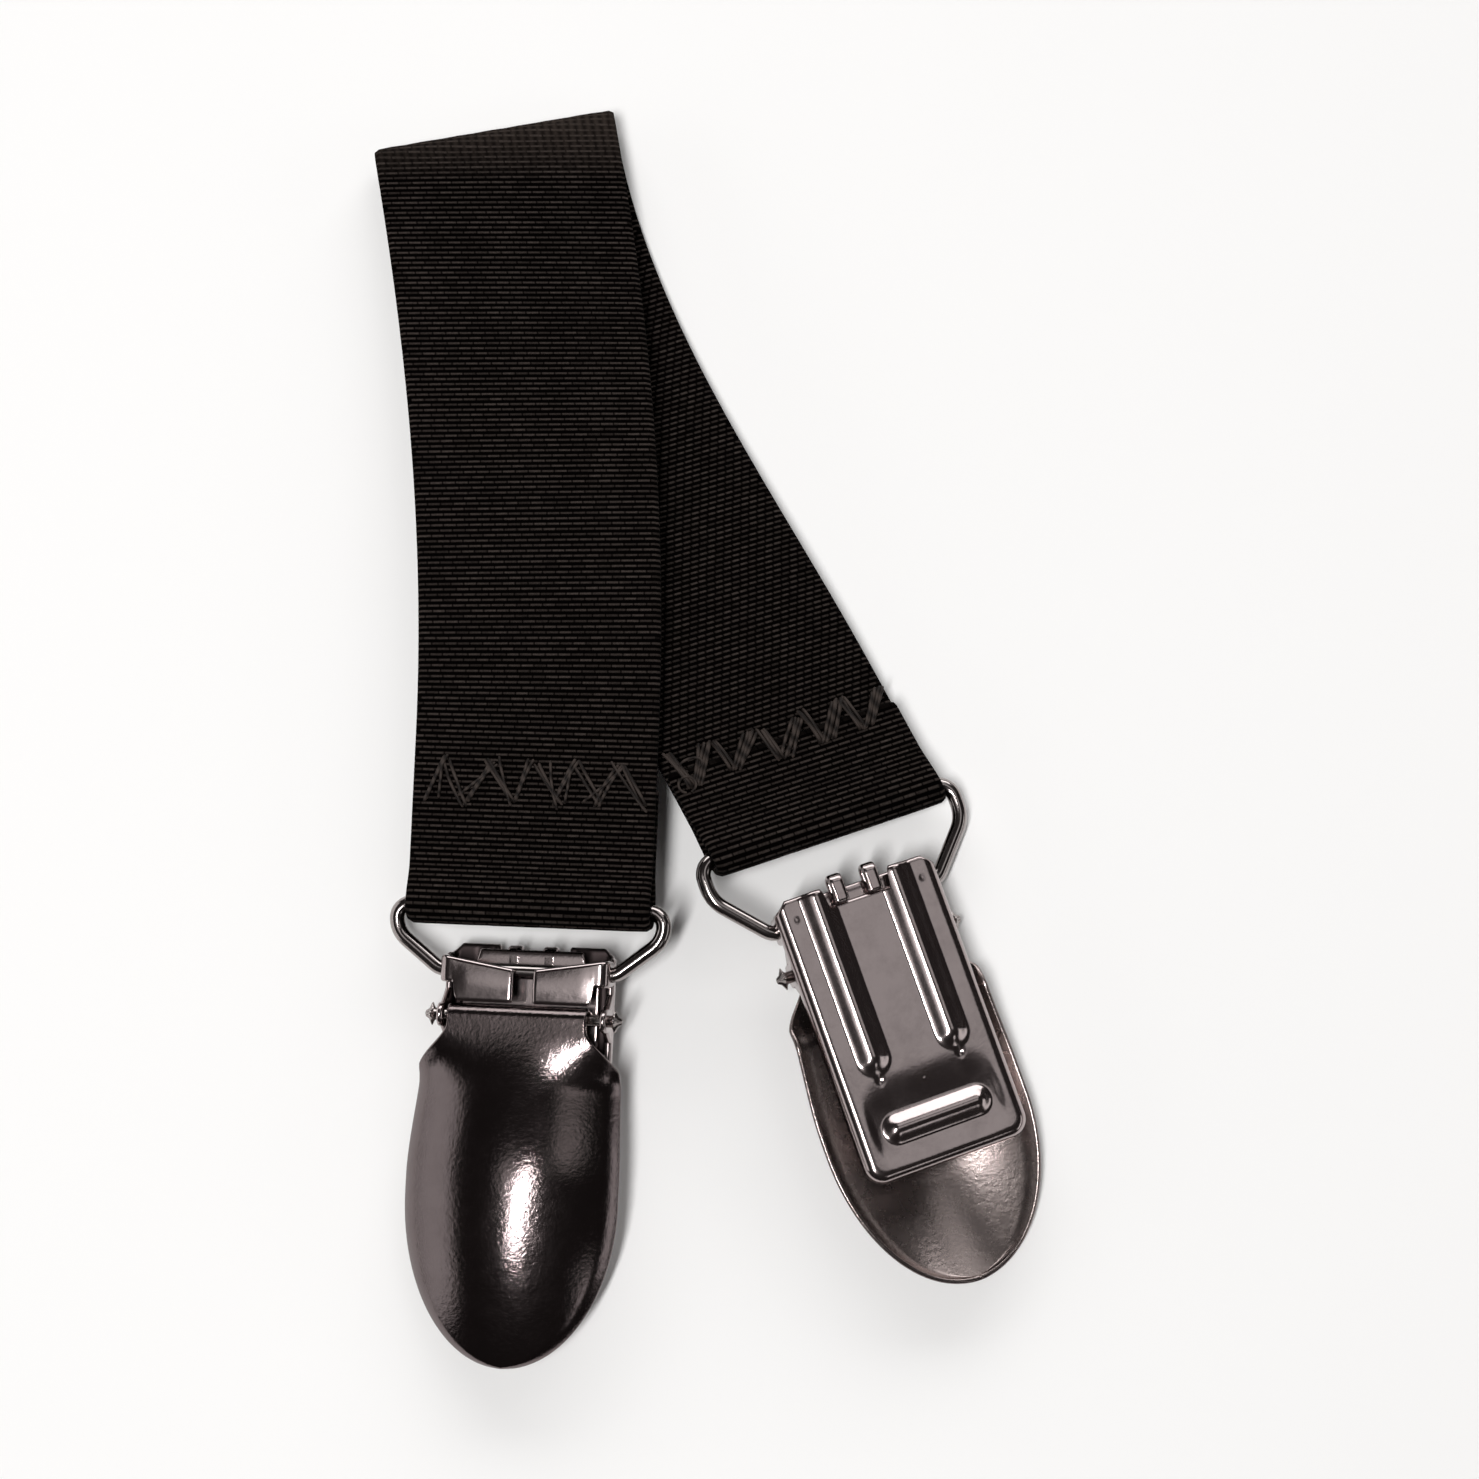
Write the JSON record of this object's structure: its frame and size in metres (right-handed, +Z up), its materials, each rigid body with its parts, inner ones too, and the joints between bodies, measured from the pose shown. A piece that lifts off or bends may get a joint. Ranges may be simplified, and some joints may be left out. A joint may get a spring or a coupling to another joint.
{
  "type": "elastic clip strap",
  "caption": "Short folded elastic strap with a stitched hem, wire bail and hinged lever clip at each end, for holding up or joining garments.",
  "frame": {"origin": "bottom centre of the strap lying folded on a table", "axes": "+X right, +Y from the clips towards the strap's fold, +Z up from the table"},
  "size_m": [0.0686, 0.1292, 0.0112],
  "materials": {
    "elastic": "ribbed woven elastic webbing, black",
    "thread": "black multi-strand sewing thread",
    "plated_steel": "polished black-nickel plate on stamped sheet steel",
    "plated_wire": "polished black-nickel plate on round steel wire"
  },
  "bodies": {
    "strap": {"elastic_strap": "elastic", "left_hem_stitching": "thread", "right_hem_stitching": "thread"},
    "left_bail": {"left_wire_bail": "plated_wire"},
    "left_clip": {"left_clip_housing": "plated_steel", "left_pivot_pin": "plated_wire"},
    "left_cover": {"left_cover_lever": "plated_steel"},
    "left_jaw": {"left_jaw_plate": "plated_steel"},
    "right_bail": {"right_wire_bail": "plated_wire"},
    "right_clip": {"right_clip_housing": "plated_steel", "right_pivot_pin": "plated_wire"},
    "right_cover": {"right_cover_lever": "plated_steel"},
    "right_jaw": {"right_jaw_plate": "plated_steel"}
  },
  "joints": [
    {"name": "left_bail_hinge", "type": "hinge", "parent": "strap", "child": "left_bail", "pos_m": [-0.01687, -0.01949, 0.00664], "axis": [0.9849, -0.0516, 0.165], "range_deg": [-45, 45]},
    {"name": "left_clip_swing", "type": "hinge", "parent": "left_bail", "child": "left_clip", "pos_m": [-0.01713, -0.02587, 0.0062], "axis": [-0.9849, 0.0516, -0.165], "range_deg": [-12, 60]},
    {"name": "left_cover_pivot", "type": "hinge", "parent": "left_clip", "child": "left_cover", "pos_m": [-0.01744, -0.03039, 0.00658], "axis": [-0.9849, 0.0516, -0.165], "range_deg": [0, 90]},
    {"name": "left_jaw_pivot", "type": "hinge", "parent": "left_clip", "child": "left_jaw", "pos_m": [-0.01662, -0.02499, 0.00339], "axis": [-0.9849, 0.0516, -0.165], "range_deg": [0, 8]},
    {"name": "right_bail_hinge", "type": "hinge", "parent": "strap", "child": "right_bail", "pos_m": [0.01245, -0.01075, 0.005], "axis": [-0.9283, -0.3287, 0.1736], "range_deg": [-45, 45]},
    {"name": "right_clip_swing", "type": "hinge", "parent": "right_bail", "child": "right_clip", "pos_m": [0.01547, -0.01927, 0.005], "axis": [0.9283, 0.3287, -0.1736], "range_deg": [-12, 60]},
    {"name": "right_cover_pivot", "type": "hinge", "parent": "right_clip", "child": "right_cover", "pos_m": [0.01685, -0.02355, 0.00431], "axis": [0.9283, 0.3287, -0.1736], "range_deg": [0, 90]},
    {"name": "right_jaw_pivot", "type": "hinge", "parent": "right_clip", "child": "right_jaw", "pos_m": [0.01571, -0.01844, 0.00786], "axis": [0.9283, 0.3287, -0.1736], "range_deg": [0, 8]}
  ],
  "couplings": [
    {"joint": "left_jaw_pivot", "follows": "left_cover_pivot", "ratio": 0.088889},
    {"joint": "right_jaw_pivot", "follows": "right_cover_pivot", "ratio": 0.088889}
  ]
}
